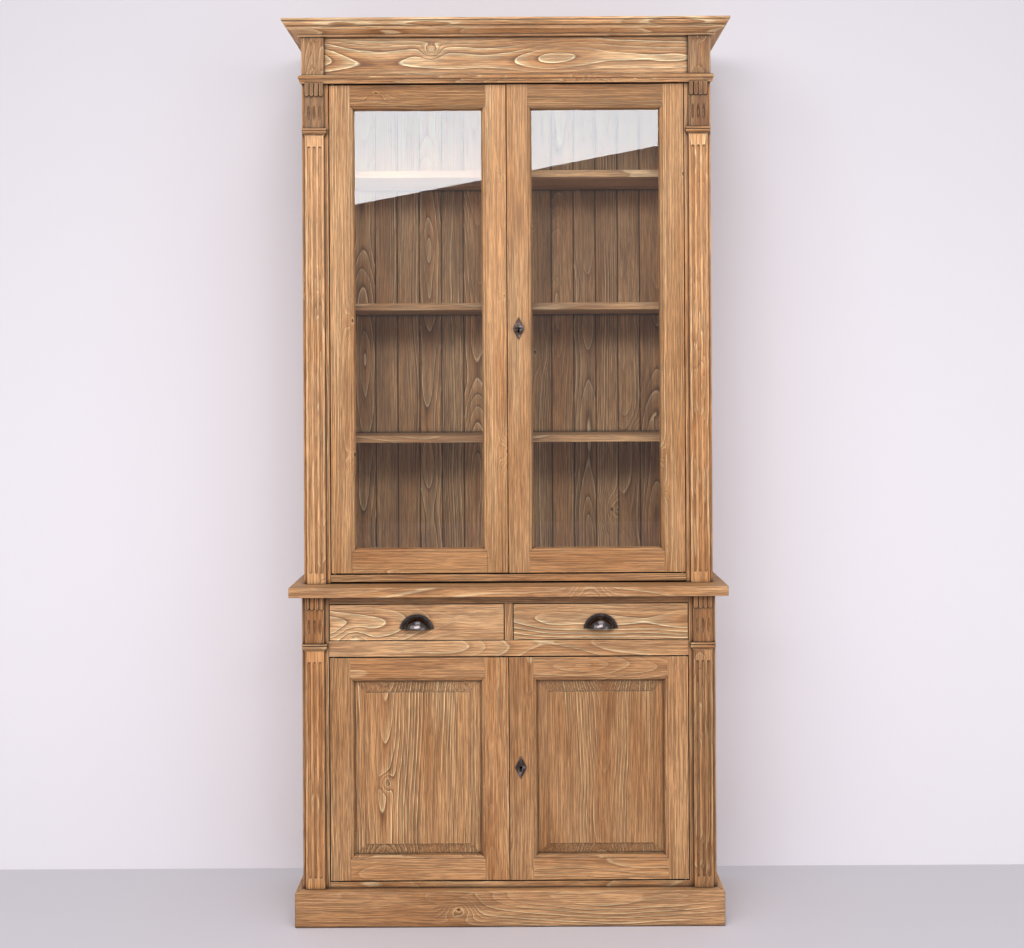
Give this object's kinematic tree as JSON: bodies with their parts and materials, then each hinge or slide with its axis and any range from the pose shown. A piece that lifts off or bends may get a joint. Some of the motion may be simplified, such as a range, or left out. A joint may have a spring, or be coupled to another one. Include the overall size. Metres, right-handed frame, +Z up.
{
  "type": "glazed dresser bookcase",
  "caption": "Pine bookcase with glazed upper doors over shelves, drawers and panelled cupboard doors below, fluted pilasters and a moulded cornice.",
  "frame": {"origin": "on the floor under the centre of the whole piece", "axes": "+Z up, +X to the right seen from the front, front faces -Y"},
  "size_m": [1.09, 0.4, 2.2],
  "materials": {
    "pine": "brushed and waxed honey-coloured softwood",
    "pine_inside": "dull stained softwood",
    "black_iron": "black, satin",
    "steel": "plain satin",
    "glass": "clear"
  },
  "bodies": {
    "cabinet": {"base_sides": "pine", "base_posts": "pine", "base_pilasters": "pine", "base_rails": "pine", "drawer_divider": "pine", "drawer_runners": "pine_inside", "base_floor": "pine_inside", "base_back_boards": "pine_inside", "plinth": "pine", "worktop": "pine", "upper_sides": "pine", "upper_posts": "pine", "upper_pilasters": "pine", "upper_foot_rail": "pine", "upper_floor": "pine_inside", "upper_top": "pine_inside", "upper_back_boards": "pine_inside", "capitals": "pine", "necking_beads": "pine", "frieze_board": "pine", "frieze_blocks": "pine", "frieze_moulding": "pine", "cornice": "pine", "shelves": "pine_inside", "shelf_pins": "steel", "dowels": "pine_inside", "pivot_pins": "steel"},
    "upper_left_door": {"upper_left_stiles": "pine", "upper_left_rails": "pine", "upper_left_glass": "glass", "upper_left_beads": "pine_inside", "upper_left_pivots": "steel"},
    "upper_left_bolt": {"upper_left_slide_bolt": "steel"},
    "upper_right_door": {"upper_right_stiles": "pine", "upper_right_rails": "pine", "upper_right_glass": "glass", "upper_right_beads": "pine_inside", "upper_right_pivots": "steel", "upper_lock_case": "steel", "upper_escutcheon": "black_iron"},
    "upper_lock": {"upper_lock_bolt": "steel"},
    "key": {"key": "black_iron"},
    "base_left_door": {"base_left_stiles": "pine", "base_left_rails": "pine", "base_left_panel": "pine", "base_left_pivots": "steel"},
    "base_left_bolt": {"base_left_slide_bolt": "steel"},
    "base_right_door": {"base_right_stiles": "pine", "base_right_rails": "pine", "base_right_panel": "pine", "base_right_pivots": "steel", "base_lock_case": "steel", "base_escutcheon": "black_iron"},
    "base_lock": {"base_lock_bolt": "steel"},
    "left_drawer": {"drawer_left_front": "pine", "drawer_left_box": "pine_inside", "drawer_left_pull": "black_iron"},
    "right_drawer": {"drawer_right_front": "pine", "drawer_right_box": "pine_inside", "drawer_right_pull": "black_iron"}
  },
  "joints": [
    {"name": "upper_left_door_swing", "type": "hinge", "parent": "cabinet", "child": "upper_left_door", "pos_m": [-0.427, -0.117, 1.446], "axis": [0, 0, -1], "range_deg": [0, 105]},
    {"name": "upper_right_door_swing", "type": "hinge", "parent": "cabinet", "child": "upper_right_door", "pos_m": [0.427, -0.117, 1.446], "axis": [0, 0, 1], "range_deg": [0, 105]},
    {"name": "base_left_door_swing", "type": "hinge", "parent": "cabinet", "child": "base_left_door", "pos_m": [-0.427, -0.159, 0.3755], "axis": [0, 0, -1], "range_deg": [0, 105]},
    {"name": "base_right_door_swing", "type": "hinge", "parent": "cabinet", "child": "base_right_door", "pos_m": [0.427, -0.159, 0.3755], "axis": [0, 0, 1], "range_deg": [0, 105]},
    {"name": "left_drawer_slide", "type": "slide", "parent": "cabinet", "child": "left_drawer", "axis": [0, -1, 0], "range_m": [0, 0.25]},
    {"name": "right_drawer_slide", "type": "slide", "parent": "cabinet", "child": "right_drawer", "axis": [0, -1, 0], "range_m": [0, 0.25]},
    {"name": "key_turn", "type": "hinge", "parent": "upper_right_door", "child": "key", "pos_m": [0.028, -0.122, 1.446], "axis": [0, 1, 0], "range_deg": [0, 88]},
    {"name": "upper_lock_slide", "type": "slide", "parent": "upper_right_door", "child": "upper_lock", "axis": [-1, 0, 0], "range_m": [0, 0.0085]},
    {"name": "base_lock_slide", "type": "slide", "parent": "base_right_door", "child": "base_lock", "axis": [-1, 0, 0], "range_m": [0, 0.0085]},
    {"name": "upper_left_bolt_slide", "type": "slide", "parent": "upper_left_door", "child": "upper_left_bolt", "axis": [0, 0, 1], "range_m": [0, 0.012]},
    {"name": "base_left_bolt_slide", "type": "slide", "parent": "base_left_door", "child": "base_left_bolt", "axis": [0, 0, 1], "range_m": [0, 0.012]}
  ],
  "couplings": [
    {"joint": "key_turn", "follows": "upper_lock_slide", "rad_per_m": 180.69}
  ]
}
